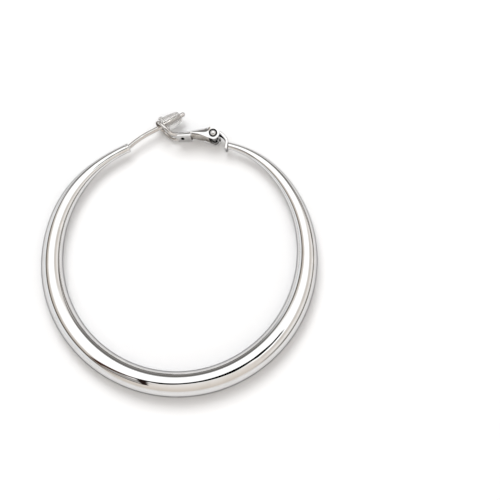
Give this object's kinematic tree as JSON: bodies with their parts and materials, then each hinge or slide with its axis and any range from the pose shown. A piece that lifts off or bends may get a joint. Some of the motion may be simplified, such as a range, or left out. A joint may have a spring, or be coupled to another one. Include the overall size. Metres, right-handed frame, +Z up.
{
  "type": "hoop earring",
  "caption": "Polished graduated tubular hoop earring with a curved ear post, a hinged channel clip whose wire loop closes round the post, and a clear bullet ear nut.",
  "frame": {"origin": "middle of the underside of the box round the whole earring as it lies on its side", "axes": "+Z up, square to the hoop's plane; +Y from the fattest part of the tube towards the clip; +X towards the clip's hinge"},
  "size_m": [0.0502, 0.053, 0.0048],
  "materials": {
    "polished_metal": "mirror-polished rhodium-coloured plating",
    "spring_metal": "rolled spring steel, satin",
    "clear_plastic": "clear glossy moulded plastic"
  },
  "bodies": {
    "hoop": {"hoop": "polished_metal", "hinge_rivet": "polished_metal"},
    "clip": {"clip_lever": "polished_metal", "spring_leaf": "spring_metal"},
    "nut": {"ear_nut": "clear_plastic"}
  },
  "joints": [
    {"name": "clip_hinge", "type": "hinge", "parent": "hoop", "child": "clip", "pos_m": [0.00629, 0.02184, 0.00242], "axis": [0, 0, -1], "range_deg": [0, 75]},
    {"name": "nut_slide", "type": "slide", "parent": "hoop", "child": "nut", "axis": [0.8695, 0.4939, 0], "range_m": [0, 0.0165]}
  ],
  "couplings": [
    {"joint": "nut_slide", "follows": "clip_hinge", "m_per_rad": 0.0125}
  ]
}
